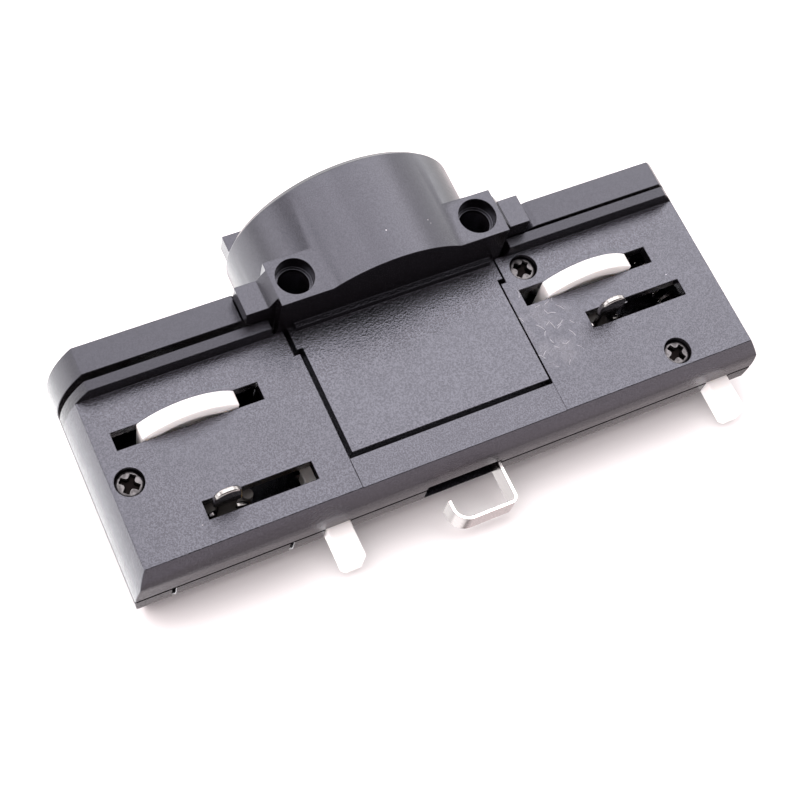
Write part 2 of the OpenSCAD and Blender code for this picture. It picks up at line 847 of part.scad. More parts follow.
// A coil spring with a closed wire, as a swept tube
module coil(x) {
    sides = 6;
    steps = 14;
    rings = spring_turns * steps;
    rise = spring_len - spring_wire - 2 * eps;
    points = [for (i = [0 : rings])
        each wire_ring(360 * i / steps, spring_wire / 2 + eps + rise * i / rings, sides)];
    sidewalls = [for (i = [0 : rings - 1], k = [0 : sides - 1])
        [i * sides + k, i * sides + (k + 1) % sides, (i + 1) * sides + (k + 1) % sides, (i + 1) * sides + k]];
    caps = [[for (k = [sides - 1 : -1 : 0]) k], [for (k = [0 : sides - 1]) rings * sides + k]];
    color(plated_steel) translate([x, plunger_y, spring_seat_z])
        polyhedron(points = points, faces = concat(sidewalls, caps));
}

module neutral_plunger_spring() {
    coil(neutral_x - plunger_offset);
}

module phase_plunger_spring() {
    coil(phase_x - plunger_offset);
}

front_shell();
back_shell();
lamp_saddle();
lamp_nut();
neutral_lever();
phase_lever();
neutral_rotor();
phase_rotor();
neutral_lever_screw();
phase_lever_screw();
neutral_blade();
phase_blade();
neutral_wiper();
phase_wiper();
neutral_terminal();
phase_terminal();
earth_terminal();
terminal_screws();
earth_spring();
neutral_plunger();
phase_plunger();
neutral_plunger_spring();
phase_plunger_spring();
shell_screws();
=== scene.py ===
import json
import math

import bmesh
import bpy
import numpy as np
from mathutils import Matrix, Vector

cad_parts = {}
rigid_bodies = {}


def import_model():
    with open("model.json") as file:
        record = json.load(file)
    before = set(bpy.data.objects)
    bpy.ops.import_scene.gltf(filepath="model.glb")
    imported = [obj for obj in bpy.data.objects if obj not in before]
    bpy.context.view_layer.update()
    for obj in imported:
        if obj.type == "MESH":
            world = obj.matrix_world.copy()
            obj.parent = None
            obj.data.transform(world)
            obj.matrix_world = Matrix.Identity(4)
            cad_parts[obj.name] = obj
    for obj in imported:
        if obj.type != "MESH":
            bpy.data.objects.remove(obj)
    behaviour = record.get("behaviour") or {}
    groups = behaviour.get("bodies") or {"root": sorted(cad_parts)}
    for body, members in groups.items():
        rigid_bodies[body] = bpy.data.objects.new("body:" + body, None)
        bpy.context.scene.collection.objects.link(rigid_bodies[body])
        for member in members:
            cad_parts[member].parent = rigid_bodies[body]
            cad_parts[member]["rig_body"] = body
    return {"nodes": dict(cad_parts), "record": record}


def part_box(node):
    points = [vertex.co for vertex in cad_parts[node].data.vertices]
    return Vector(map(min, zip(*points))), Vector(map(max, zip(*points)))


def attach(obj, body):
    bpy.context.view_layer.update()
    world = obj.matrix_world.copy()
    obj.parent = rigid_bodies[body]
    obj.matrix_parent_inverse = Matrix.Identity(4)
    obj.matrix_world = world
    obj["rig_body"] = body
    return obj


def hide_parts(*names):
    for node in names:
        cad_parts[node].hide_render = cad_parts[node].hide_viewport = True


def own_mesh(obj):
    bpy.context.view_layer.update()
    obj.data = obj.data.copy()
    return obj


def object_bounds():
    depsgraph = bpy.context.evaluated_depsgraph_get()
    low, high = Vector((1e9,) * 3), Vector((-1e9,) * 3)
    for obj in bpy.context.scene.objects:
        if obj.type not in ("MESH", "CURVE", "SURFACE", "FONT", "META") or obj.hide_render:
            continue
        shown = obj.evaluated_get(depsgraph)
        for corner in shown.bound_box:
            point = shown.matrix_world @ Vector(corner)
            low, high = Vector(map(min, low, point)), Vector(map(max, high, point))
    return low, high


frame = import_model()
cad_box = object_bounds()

# Lamp saddle
# One black moulding: a smooth drum that carries the lamp, bosses with threaded side holes, front shoulders
# and two long tongues with a coarser grain. Its edges get a small moulded radius, its holes get thread turns.
MM = 0.001
MERGE = 0.002 * MM
FLAT_ANGLE = math.radians(0.5)
EDGE_ANGLE = math.radians(35)
MOUNT_OF = {mount["name"]: mount for mount in frame["record"]["mounts"]}


def link(mesh):
    """Puts a mesh into the scene as an object at the origin."""
    piece = bpy.data.objects.new(mesh.name, mesh)
    bpy.context.scene.collection.objects.link(piece)
    return piece


def dress(piece, node, material):
    """Lets a piece ride on a node's body, with a material."""
    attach(piece, frame["nodes"][node]["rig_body"])
    piece.data.materials.append(material)
    return piece


def eased_copy(node, radius, material, segments=2):
    """A solid's own mesh with doubles merged and flat faces joined to convex ones, its edges rounded."""
    shape = bmesh.new()
    shape.from_mesh(frame["nodes"][node].data)
    bmesh.ops.remove_doubles(shape, verts=shape.verts, dist=MERGE)
    bmesh.ops.dissolve_limit(shape, angle_limit=FLAT_ANGLE, verts=shape.verts, edges=shape.edges)
    bmesh.ops.connect_verts_concave(shape, faces=shape.faces)
    mesh = bpy.data.meshes.new(node + "_eased")
    shape.to_mesh(mesh)
    shape.free()
    for name in ("custom_normal", "sharp_edge", "sharp_face"):
        if name in mesh.attributes:
            mesh.attributes.remove(mesh.attributes[name])
    mesh.shade_smooth()
    mesh.set_sharp_from_angle(angle=EDGE_ANGLE)
    piece = dress(link(mesh), node, material)
    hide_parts(node)
    bevel = piece.modifiers.new("edges", "BEVEL")
    bevel.width = radius
    bevel.segments = segments
    bevel.limit_method = "ANGLE"
    bevel.angle_limit = EDGE_ANGLE
    bevel.use_clamp_overlap = False
    bevel.loop_slide = False
    bevel.harden_normals = True
    return piece


def join_sockets(tree, made, inputs):
    """Sets or links a node's inputs, given by name or number."""
    for key, value in inputs.items():
        if isinstance(value, bpy.types.NodeSocket):
            tree.links.new(value, made.inputs[key])
        else:
            made.inputs[key].default_value = value
    return made


def shade(tree, kind, inputs=None, **properties):
    """Adds a shader node with its properties and inputs."""
    made = tree.nodes.new("ShaderNode" + kind)
    for name, value in properties.items():
        setattr(made, name, value)
    return join_sockets(tree, made, inputs or {})


def maths(tree, operation, *terms):
    """The result of a Math node on numbers or sockets."""
    return shade(tree, "Math", dict(enumerate(terms)), operation=operation).outputs[0]


def ramp(tree, value, low, high, start=0.0, end=1.0):
    """A smooth step of a value from start at low to end at high."""
    inputs = {"Value": value, "From Min": low, "From Max": high, "To Min": start, "To Max": end}
    return shade(tree, "MapRange", inputs, interpolation_type="SMOOTHSTEP").outputs["Result"]


def between(tree, share, first, second):
    """A number between two numbers or sockets."""
    return shade(tree, "Mix", {0: share, 2: first, 3: second}).outputs[0]


def tint(tree, share, first, second):
    """A colour between two colours or sockets."""
    return shade(tree, "Mix", {0: share, 6: first, 7: second}, data_type="RGBA").outputs[2]


def noise(tree, where, scale, detail):
    """A cloudy value from zero to one."""
    return shade(tree, "TexNoise", {"Vector": where, "Scale": scale, "Detail": detail}).outputs[0]


def axes(tree, vector):
    """The three numbers of a vector."""
    return shade(tree, "SeparateXYZ", {0: vector}).outputs


def place(tree):
    """The place of a point on its piece, as three numbers."""
    return axes(tree, shade(tree, "TexCoord").outputs["Object"])


def facing(tree):
    """The way that a face looks, as three numbers."""
    return axes(tree, shade(tree, "TexCoord").outputs["Normal"])


def effect(name, inputs, outputs):
    """A shader node group: inputs with no value are vectors, all other ends are numbers."""
    group = bpy.data.node_groups.new(name, "ShaderNodeTree")
    for socket, value in inputs.items():
        kind = "NodeSocketVector" if value is None else "NodeSocketFloat"
        made = group.interface.new_socket(name=socket, in_out="INPUT", socket_type=kind)
        if value is not None:
            made.default_value = value
    for socket in outputs:
        group.interface.new_socket(name=socket, in_out="OUTPUT", socket_type="NodeSocketFloat")
    return group, group.nodes.new("NodeGroupInput").outputs, group.nodes.new("NodeGroupOutput").inputs


def placed(tree, group, inputs):
    """Outputs of an effect placed in a material with its own values."""
    made = tree.nodes.new("ShaderNodeGroup")
    made.node_tree = group
    return join_sockets(tree, made, inputs).outputs


# Spark eroded grain of the mould: fine pits with a slower cloud over them.
GRAIN_DETAIL = 2.0
CLOUD_DETAIL = 3.0
CLOUD_PITCH = 0.07
grain, grain_in, grain_out = effect("moulded_grain", {"Vector": None, "Pitch": 3500.0}, ["Height", "Cloud"])
slow_pitch = maths(grain, "MULTIPLY", grain_in["Pitch"], CLOUD_PITCH)
grain.links.new(noise(grain, grain_in["Vector"], grain_in["Pitch"], GRAIN_DETAIL), grain_out["Height"])
grain.links.new(noise(grain, grain_in["Vector"], slow_pitch, CLOUD_DETAIL), grain_out["Cloud"])

# Dust and tiny chips: sparse round dots, one in a few cells of a coarse lattice.
SPECK_EDGE = (0.02, 0.045)
dust, dust_in, dust_out = effect("dust_specks", {"Vector": None, "Cells": 260.0, "Share": 0.2}, ["Mask"])
dust_cells = shade(dust, "TexVoronoi", {"Vector": dust_in["Vector"], "Scale": dust_in["Cells"]}).outputs
dust_lot = shade(dust, "SeparateColor", {"Color": dust_cells["Color"]}).outputs["Red"]
dusty = maths(dust, "LESS_THAN", dust_lot, dust_in["Share"])
speck = ramp(dust, dust_cells["Distance"], *SPECK_EDGE, 1.0, 0.0)
dust.links.new(maths(dust, "MULTIPLY", dusty, speck), dust_out["Mask"])


def new_material(name):
    """A node material with its tree, its Principled shader and the piece's own coordinates."""
    material = bpy.data.materials.new(name)
    material.use_nodes = True
    tree = material.node_tree
    return material, tree, tree.nodes["Principled BSDF"], shade(tree, "TexCoord").outputs["Object"]


PIT_BLACK = (0.0010, 0.0007, 0.0011, 1)
PEAK_BLACK = (0.0030, 0.0025, 0.0032, 1)
WORN_GREY = (0.40, 0.39, 0.40, 1)
VIOLET_SHEEN = (0.88, 0.855, 1.0, 1)
PLASTIC_IOR = 1.6
PLASTIC_GLOSS = (0.21, 0.27)
WORN_GLOSS = 0.55
PIT_BAND = (0.35, 0.65)
CLOUD_BAND = (0.3, 0.7)


def moulded_black(name, pitch, depth, contrast, sheen, kept=None, wear=None):
    """Black plastic: the grain shades colour, sheen and normal, a cloud varies the gloss, dust lies on it.

    The function kept adds the share of the sheen that each place keeps, a painted shade, and the effect wear
    adds scratches.
    """
    material, tree, shader, where = new_material(name)
    texture = placed(tree, grain, {"Vector": where, "Pitch": pitch})
    colour = tint(tree, ramp(tree, texture["Height"], *PIT_BAND), PIT_BLACK, PEAK_BLACK)
    marks = placed(tree, dust, {"Vector": where})["Mask"]
    gloss = ramp(tree, texture["Cloud"], *CLOUD_BAND, *PLASTIC_GLOSS)
    pits = noise(tree, where, pitch, GRAIN_DETAIL)
    shine = ramp(tree, pits, *PIT_BAND, (1 - contrast) * sheen, (1 + contrast) * sheen)
    # Painted shade: the share kept lowers the sheen where shade falls.
    if kept:
        shine = maths(tree, "MULTIPLY", shine, kept(tree))
    if wear:
        worn = placed(tree, wear, {"Vector": where})["Mask"]
        marks = maths(tree, "MAXIMUM", marks, worn)
        gloss = between(tree, worn, gloss, WORN_GLOSS)
    bump = shade(tree, "Bump", {"Height": texture["Height"], "Distance": depth, "Strength": 1.0})
    tree.links.new(tint(tree, marks, colour, WORN_GREY), shader.inputs["Base Color"])
    tree.links.new(gloss, shader.inputs["Roughness"])
    shader.inputs["Specular IOR Level"].default_value = sheen
    tree.links.new(shine, shader.inputs["Specular IOR Level"])
    tree.links.new(bump.outputs["Normal"], shader.inputs["Normal"])
    shader.inputs["IOR"].default_value = PLASTIC_IOR
    shader.inputs["Specular Tint"].default_value = VIOLET_SHEEN
    return material


BODY_HALF = 8.25 * MM
# Painted shade: the tongues' walls below the face and their root under the drum keep less sheen.
WALL_BAND = (BODY_HALF - 0.5 * MM, BODY_HALF - 0.15 * MM)
WALL_PAINTED_SHADE = 0.1
ROOT_FADE = 5.0 * MM
ROOT_PAINTED_SHADE = 0.4
FACING_BAND = (0.3, 0.8)
# The drum's upper faces keep less sheen, a painted shade.
DRUM_UPPER_PAINTED_SHADE = 0.35
drum_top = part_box("lamp_nut")[1].z


def upper_share(tree, share):
    """A share that falls from one to the given value as faces turn upwards."""
    return ramp(tree, facing(tree)["Z"], *FACING_BAND, 1.0, share)


def drum_painted_shade(tree):
    """Sheen kept by the drum, a painted shade: less on what looks up."""
    return upper_share(tree, DRUM_UPPER_PAINTED_SHADE)


def tongue_painted_shade(tree):
    """Sheen kept by the tongues, a painted shade: little on their walls below the body's face, less towards
    the root.
    """
    spot = place(tree)
    wall = ramp(tree, maths(tree, "ABSOLUTE", spot["Y"]), *WALL_BAND, WALL_PAINTED_SHADE, 1.0)
    root = ramp(tree, spot["Z"], drum_top, drum_top + ROOT_FADE, ROOT_PAINTED_SHADE, 1.0)
    return maths(tree, "MINIMUM", wall, root)


SADDLE_EDGE = 0.12 * MM
drum_black = moulded_black(
    "drum_black", pitch=5200.0, depth=0.020 * MM, contrast=0.10, sheen=0.60, kept=drum_painted_shade)
panel_black = moulded_black(
    "panel_black", pitch=3600.0, depth=0.085 * MM, contrast=0.16, sheen=0.80, kept=tongue_painted_shade)
saddle = eased_copy("lamp_saddle", SADDLE_EDGE, drum_black)
saddle.data.materials.append(panel_black)
centres = np.empty(3 * len(saddle.data.polygons))
saddle.data.polygons.foreach_get("center", centres)
on_panel = (centres.reshape(-1, 3)[:, 2] > drum_top + MERGE).astype(np.int32)
saddle.data.polygons.foreach_set("material_index", on_panel)


def strip_faces(rows, columns, wrap=False):
    """Quads of a grid of points, row by row; wrap joins the last column to the first."""
    index = np.arange(rows * columns).reshape(rows, columns)
    after = np.roll(index, -1, axis=1)
    last = columns if wrap else columns - 1
    quads = np.stack([index[:-1], after[:-1], after[1:], index[1:]], axis=-1)
    return quads[:, :last].reshape(-1, 4)


def surface(name, grids, wrap=False):
    """One smooth mesh from several grids of points of the same shape; wrapped grids get their ends closed."""
    rows, columns, _ = grids[0].shape
    quads = strip_faces(rows, columns, wrap)
    size = rows * columns
    faces = np.concatenate([quads + size * n for n in range(len(grids))]).tolist()
    if wrap:
        ends = np.stack([np.arange(columns)[::-1], np.arange(size - columns, size)])
        faces += np.concatenate([ends + size * n for n in range(len(grids))]).tolist()
    mesh = bpy.data.meshes.new(name)
    mesh.from_pydata(np.concatenate([grid.reshape(-1, 3) for grid in grids]), [], faces)
    mesh.shade_smooth()
    mesh.set_sharp_from_angle(angle=EDGE_ANGLE)
    return link(mesh)


def round_axis(out, turn):
    """Unit vectors across an axis of the frame, at the given angles round it."""
    first = np.roll(np.abs(out), 1)
    second = np.cross(out, first)
    return np.cos(turn)[..., None] * first + np.sin(turn)[..., None] * second


SIDE_HOLE = MOUNT_OF["side_thread_front_right"]
SIDE_R = SIDE_HOLE["dims"]["r_mm"] * MM
SIDE_LENGTH = SIDE_HOLE["dims"]["length_mm"] * MM
SIDE_PITCH = 1.0 * MM
SIDE_RIDGE = 0.28 * MM
RIDGE_SHARE = 0.9
STEPS_A_TURN = 40
STEPS_ACROSS = 7


def thread_turns(mouth, out, depth):
    """Inner thread: angle a runs down the hole, t runs across one ridge from minus to plus one half.

    The point lies at the hole's radius minus the ridge times the squared cosine of pi times t. It lies below
    the mouth by the pitch times the turns in a, plus the ridge's share of the pitch times t, so the ridge
    winds down the wall as a helix.
    """
    turns = depth / SIDE_PITCH
    turn, across = np.meshgrid(
        np.linspace(0, 2 * np.pi * turns, int(STEPS_A_TURN * turns)),
        np.linspace(-0.5, 0.5, STEPS_ACROSS), indexing="ij")
    reach = SIDE_R - SIDE_RIDGE * np.cos(np.pi * across) ** 2
    below = SIDE_PITCH * (turn / (2 * np.pi) + RIDGE_SHARE * across)
    return np.array(mouth) + reach[..., None] * round_axis(out, turn) - below[..., None] * np.array(out)


THREAD_START = 0.6 * SIDE_PITCH
hole_x, hole_y, hole_z = SIDE_HOLE["pos_m"]
mouth_y = abs(hole_y) + SIDE_LENGTH / 2 - THREAD_START
holes = []
for way_x in (-1, 1):
    for way_y in (-1, 1):
        hole_mouth = (way_x * hole_x, way_y * mouth_y, hole_z)
        holes.append(thread_turns(hole_mouth, (0, way_y, 0), SIDE_LENGTH - SIDE_PITCH))
dress(surface("side_hole_threads", holes), "lamp_saddle", drum_black)

# Lamp nut
# A hexagon nut of plated steel, laid into a pocket in the saddle's top before the body closes it. The lamp's
# threaded tube is screwed into it from below.
NICKEL = (0.72, 0.67, 0.66, 1)
STREAK_DETAIL = 4.0
STREAK_DULL = 0.8
ALONG_Z = (3000, 3000, 400)
PLUS_X_SHADE_BAND = (0.02, 0.5)


def metal(name, colour, low, high, stretch, inside=None):
    """Metal with drawn streaks: stretched noise sets roughness and tone; faces towards +X may get a painted
    shade.
    """
    material, tree, shader, where = new_material(name)
    drawn = shade(tree, "Mapping", {"Vector": where, "Scale": stretch}).outputs["Vector"]
    streak = noise(tree, drawn, 1.0, STREAK_DETAIL)
    dull = tuple(STREAK_DULL * part for part in colour[:3]) + (1,)
    tone = tint(tree, ramp(tree, streak, *PIT_BAND), dull, colour)
    if inside:
        tone = tint(tree, ramp(tree, facing(tree)["X"], *PLUS_X_SHADE_BAND), tone, inside)
    tree.links.new(tone, shader.inputs["Base Color"])
    tree.links.new(ramp(tree, streak, *CLOUD_BAND, low, high), shader.inputs["Roughness"])
    shader.inputs["Metallic"].default_value = 1.0
    return material


def finish_solids(material, *nodes):
    """Gives solids that are shown as they are a material."""
    for node in nodes:
        mesh = frame["nodes"][node].data
        mesh.materials.clear()
        mesh.materials.append(material)


nickel = metal("nickel_plate", NICKEL, low=0.12, high=0.24, stretch=ALONG_Z)
finish_solids(nickel, "lamp_nut")

# Shells
# Two black grained mouldings. The back one lies on the table and guides the pegs, the front one has the slots
# and is held by three screws. They meet at a grooved seam. A patch beside the front's tongue is scratched.
SHELL_EDGE = 0.12 * MM
PATCH_X = -21.6 * MM
PATCH_Z = 33.5 * MM
PATCH_WIDE = 6.5 * MM
PATCH_HIGH = 9.5 * MM
PATCH_BAND = (0.4, 1.0)
SCRATCH_HALF = 0.09 * MM
SCRATCH_STRENGTH = 0.5
STROKE_FULL = 0.6
HAZE_SCALE = 520.0
HAZE_DETAIL = 1.0
HAZE_BAND = (0.4, 0.7)
HAZE_STRENGTH = 0.07
FACE_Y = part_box("shell_screws")[0].y

# Scratches: each cell of a flat lattice holds one bent stroke at its own angle, faded out to an oval patch.
scratch, scratch_in, scratch_out = effect("scratches", {"Vector": None}, ["Mask"])
scratch_at = axes(scratch, scratch_in["Vector"])
flat = shade(scratch, "CombineXYZ", {"X": scratch_at["X"], "Y": scratch_at["Z"]}).outputs["Vector"]


def strokes(cells, half_long, bend, share):
    """Mask of thin strokes, one in each chosen cell, turned by an angle of the cell's own.

    Along the stroke runs u, and across it v follows bend times u squared.
    """
    lattice = shade(scratch, "TexVoronoi", {"Vector": flat, "Scale": cells}, voronoi_dimensions="2D").outputs
    lot = shade(scratch, "SeparateColor", {"Color": lattice["Color"]}).outputs
    off = shade(scratch, "VectorMath", {0: flat, 1: lattice["Position"]}, operation="SUBTRACT").outputs[0]
    angle = maths(scratch, "MULTIPLY", lot["Red"], math.pi)
    turned = shade(scratch, "VectorRotate", {"Vector": off, "Angle": angle}, rotation_type="Z_AXIS")
    own = axes(scratch, turned.outputs["Vector"])
    along_u = maths(scratch, "ABSOLUTE", own["X"])
    curve = maths(scratch, "MULTIPLY", maths(scratch, "POWER", along_u, 2), bend)
    off_line = maths(scratch, "ABSOLUTE", maths(scratch, "SUBTRACT", own["Y"], curve))
    thin = ramp(scratch, off_line, 0.0, SCRATCH_HALF, 1.0, 0.0)
    short = ramp(scratch, along_u, STROKE_FULL * half_long, half_long, 1.0, 0.0)
    chosen = maths(scratch, "LESS_THAN", lot["Green"], share)
    return maths(scratch, "MULTIPLY", maths(scratch, "MULTIPLY", thin, short), chosen)


def from_patch(value, middle, half):
    """The squared distance from the patch's middle along one axis, in halves of the patch."""
    share = maths(scratch, "DIVIDE", maths(scratch, "SUBTRACT", value, middle), half)
    return maths(scratch, "MULTIPLY", share, share)


aside = from_patch(scratch_at["X"], PATCH_X, PATCH_WIDE)
aloft = from_patch(scratch_at["Z"], PATCH_Z, PATCH_HIGH)
oval = ramp(scratch, maths(scratch, "ADD", aside, aloft), *PATCH_BAND, 1.0, 0.0)
patch = maths(scratch, "MULTIPLY", oval, maths(scratch, "LESS_THAN", scratch_at["Y"], FACE_Y))
long_strokes = strokes(cells=420.0, half_long=0.9 * MM, bend=220.0, share=0.45)
short_strokes = strokes(cells=640.0, half_long=0.6 * MM, bend=-260.0, share=0.35)
all_strokes = maths(scratch, "MAXIMUM", long_strokes, short_strokes)
all_strokes = maths(scratch, "MULTIPLY", all_strokes, SCRATCH_STRENGTH)
haze = noise(scratch, scratch_in["Vector"], HAZE_SCALE, HAZE_DETAIL)
haze = ramp(scratch, haze, *HAZE_BAND, 0.0, HAZE_STRENGTH)
scratched = maths(scratch, "MULTIPLY", maths(scratch, "MAXIMUM", all_strokes, haze), patch)
scratch.links.new(scratched, scratch_out["Mask"])

# Painted shade: the seam's groove, the flange and the back's upper faces keep less sheen.
SEAM_Y = -0.15 * MM
SEAM_HALF = 0.22 * MM
SEAM_END = 1.3 * SEAM_HALF
SEAM_PAINTED_SHADE = 0.05
FLANGE_TOP = MOUNT_OF["track_flange"]["pos_m"][2]
FLANGE_FADE = 0.1 * MM
FLANGE_PAINTED_SHADE = 0.50
BACK_UPPER_PAINTED_SHADE = 0.55


def shell_painted_shade(tree):
    """Sheen kept by the shells, a painted shade: least in the seam's groove, less on the flange and the
    back's upper faces.
    """
    spot = place(tree)
    off_seam = maths(tree, "ABSOLUTE", maths(tree, "SUBTRACT", spot["Y"], SEAM_Y))
    groove = ramp(tree, off_seam, SEAM_HALF, SEAM_END, SEAM_PAINTED_SHADE, 1.0)
    flange = ramp(tree, spot["Z"], FLANGE_TOP, FLANGE_TOP + FLANGE_FADE, FLANGE_PAINTED_SHADE, 1.0)
    on_back = maths(tree, "GREATER_THAN", spot["Y"], 0.0)
    upper = between(tree, on_back, 1.0, upper_share(tree, BACK_UPPER_PAINTED_SHADE))
    return maths(tree, "MULTIPLY", maths(tree, "MINIMUM", groove, flange), upper)


shell_black = moulded_black(
    "shell_black", pitch=4800.0, depth=0.060 * MM, contrast=0.17, sheen=0.74, kept=shell_painted_shade, wear=scratch)
for shell in ("back_shell", "front_shell"):
    eased_copy(shell, SHELL_EDGE, shell_black)

# Contacts and earth strip
# Brass terminal blocks with dark steel clamp screws and brass spring strips, closed in between the shells,
# and the plated strip, stamped and bent, that is screwed on the middle block. Its hook leaves the roof.
BRASS = (0.50, 0.33, 0.12, 1)
DARK_STEEL = (0.10, 0.10, 0.105, 1)
# A lighter copy of the nickel plating for the strip, a painted highlight.
NICKEL_PAINTED_LIGHT = (0.95, 0.88, 0.87, 1)
# Painted shade on the strip's faces towards +X.
NICKEL_PAINTED_SHADE = (0.14, 0.122, 0.12, 1)
STRIP_EDGE = 0.08 * MM
brass = metal("brass_sheet", BRASS, low=0.25, high=0.4, stretch=(3000, 3000, 500))
dark_steel = metal("dark_steel", DARK_STEEL, low=0.3, high=0.45, stretch=(2000, 2000, 2000))
finish_solids(brass, "neutral_terminal", "phase_terminal", "earth_terminal", "neutral_wiper", "phase_wiper")
finish_solids(dark_steel, "terminal_screws")
strip_nickel = metal("strip_nickel", NICKEL_PAINTED_LIGHT, low=0.14, high=0.26, stretch=ALONG_Z, inside=NICKEL_PAINTED_SHADE)
eased_copy("earth_spring", STRIP_EDGE, strip_nickel)

# Spindles and pegs
# White waxy mouldings: the spindles, which carry lock cams and plated contact tongues and are darkened by
# painted shade at their upper end, and the pegs, which slide in the shells on plated coil springs.
WHITE = (0.84, 0.84, 0.83, 1)
WHITE_SHADE = (0.78, 0.78, 0.77, 1)
WHITE_PITCH = 2500.0
WHITE_DEPTH = 0.004 * MM
WHITE_GLOSS = (0.30, 0.40)
WAX_WEIGHT = 0.7
WAX_RADIUS = (1.0, 0.95, 0.9)
WAX_SCALE = 2.0 * MM
# Painted shade on the spindles' upper end, above this height.
PAINTED_INNER_SHADE = (0.11, 0.105, 0.10, 1)
INNER_SHADE_Z = FLANGE_TOP + 9.7 * MM
INNER_SHADE_FADE = 1.0 * MM


def moulded_white(name, shaded_above=None):
    """White plastic with a faint cloud in its tone and gloss, darkened by painted shade above the given
    height.
    """
    material, tree, shader, where = new_material(name)
    texture = placed(tree, grain, {"Vector": where, "Pitch": WHITE_PITCH})
    colour = tint(tree, texture["Cloud"], WHITE_SHADE, WHITE)
    if shaded_above:
        colour = tint(tree, ramp(tree, place(tree)["Z"], shaded_above, shaded_above + INNER_SHADE_FADE), colour, PAINTED_INNER_SHADE)
    bump = shade(tree, "Bump", {"Height": texture["Height"], "Distance": WHITE_DEPTH})
    tree.links.new(colour, shader.inputs["Base Color"])
    tree.links.new(ramp(tree, texture["Cloud"], *CLOUD_BAND, *WHITE_GLOSS), shader.inputs["Roughness"])
    tree.links.new(bump.outputs["Normal"], shader.inputs["Normal"])
    shader.inputs["Subsurface Weight"].default_value = WAX_WEIGHT
    shader.inputs["Subsurface Radius"].default_value = WAX_RADIUS
    shader.inputs["Subsurface Scale"].default_value = WAX_SCALE
    return material


SPRING_WIRE = 0.5 * MM
SPRING_TURNS = 6
STEPS_A_COIL = 48
STEPS_ROUND_WIRE = 12


def coil(low, high):
    """A coil spring between two corners: angle a runs up the coil, b runs round the wire.

    The point lies at the coil's radius plus half the wire times the cosine of b, and at a height that grows
    with a plus half the wire times the sine of b.
    """
    foot = np.array([(low.x + high.x) / 2, (low.y + high.y) / 2, low.z])
    radius = (high.x - low.x - SPRING_WIRE) / 2
    turn, about = np.meshgrid(
        np.linspace(0, 2 * np.pi * SPRING_TURNS, STEPS_A_COIL * SPRING_TURNS),
        np.linspace(0, 2 * np.pi, STEPS_ROUND_WIRE, endpoint=False), indexing="ij")
    reach = radius + SPRING_WIRE / 2 * np.cos(about)
    climb = (high.z - low.z - SPRING_WIRE) * turn / (2 * np.pi * SPRING_TURNS)
    rise = SPRING_WIRE / 2 * (1 + np.sin(about)) + climb
    return foot, foot + np.stack([reach * np.cos(turn), reach * np.sin(turn), rise], axis=-1)


# A darker copy of the nickel plating for the blades, a painted shade.
NICKEL_PAINTED_DARK = (0.34, 0.315, 0.31, 1)
PEG_EDGE = 0.25 * MM
SPINDLE_EDGE = 0.15 * MM
BLADE_EDGE = 0.32 * MM
ENDS = ("neutral", "phase")
peg_white = moulded_white("peg_white")
spindle_white = moulded_white("spindle_white", shaded_above=INNER_SHADE_Z)
blade_nickel = metal("blade_nickel", NICKEL_PAINTED_DARK, low=0.12, high=0.22, stretch=ALONG_Z)
for end in ENDS:
    eased_copy(end + "_plunger", PEG_EDGE, peg_white, segments=3)
    eased_copy(end + "_rotor", SPINDLE_EDGE, spindle_white, segments=3)
    eased_copy(end + "_blade", BLADE_EDGE, blade_nickel, segments=3)
    low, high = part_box(end + "_plunger_spring")
    foot, turns = coil(low, high)
    spring = dress(surface(end + "_coil", [turns], wrap=True), end + "_plunger_spring", nickel)
    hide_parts(end + "_plunger_spring")
    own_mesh(spring)

# Shell screws
# Pan head steel screws with a cross recess, driven through the front shell into posts of the back one. Their
# heads are worn bright, and the recess is black with dirt and painted shade.
HEAD_R = 2.22 * MM
HEAD_H = 1.4 * MM
HEAD_DOME = 0.10 * MM
HEAD_EDGE = 0.45 * MM
HEAD_MIDDLE = 0.02 * MM
SHANK_R = 1.25 * MM
TIP_R = 0.2 * MM
CROSS_LONG = 1.55 * MM
CROSS_HALF = 0.42 * MM
CROSS_FLARE = 0.60 * MM
CROSS_WALL = 0.12 * MM
CROSS_DEEP = 0.9 * MM
SCREW_PITCH = 0.8 * MM
SCREW_RIDGE = 0.22 * MM
HEAD_ROWS = 34
EDGE_ROWS = 5
SHANK_ROWS = 90
TIP_ROWS = 4
COLUMNS = 120


def in_cross(x, y):
    """How far a point of the head is inside the cross, from zero to one.

    The cross is the union of two bars, blended at their crossing by the flare, with a narrow sloping wall.
    """
    bar = np.maximum(np.abs(x) - CROSS_LONG, np.abs(y) - CROSS_HALF)
    other = np.maximum(np.abs(y) - CROSS_LONG, np.abs(x) - CROSS_HALF)
    near = np.clip(0.5 + 0.5 * (other - bar) / CROSS_FLARE, 0, 1)
    outside = other * (1 - near) + bar * near - CROSS_FLARE * near * (1 - near)
    return np.clip(0.5 - outside / CROSS_WALL, 0, 1)


def screw_profile(length):
    """Radius and depth of each row of a screw: over the domed head, round its edge, under it, down the shank.

    On the dome the depth grows with the square of the radius, and the edge is a quarter circle.
    """
    flat_r = HEAD_R - HEAD_EDGE
    dome_r = np.linspace(HEAD_MIDDLE, flat_r, HEAD_ROWS)
    lean = np.linspace(0, np.pi / 2, EDGE_ROWS + 1)[1:]
    tip_at = length - SHANK_R
    reach = np.concatenate([
        dome_r, flat_r + HEAD_EDGE * np.sin(lean), [HEAD_R, SHANK_R],
        np.full(SHANK_ROWS, SHANK_R), np.linspace(SHANK_R, TIP_R, TIP_ROWS + 1)[1:]])
    sink = np.concatenate([
        HEAD_DOME * (dome_r / flat_r) ** 2, HEAD_DOME + HEAD_EDGE * (1 - np.cos(lean)), [HEAD_H, HEAD_H],
        np.linspace(HEAD_H, tip_at, SHANK_ROWS), np.linspace(tip_at, length, TIP_ROWS + 1)[1:]])
    return reach, sink


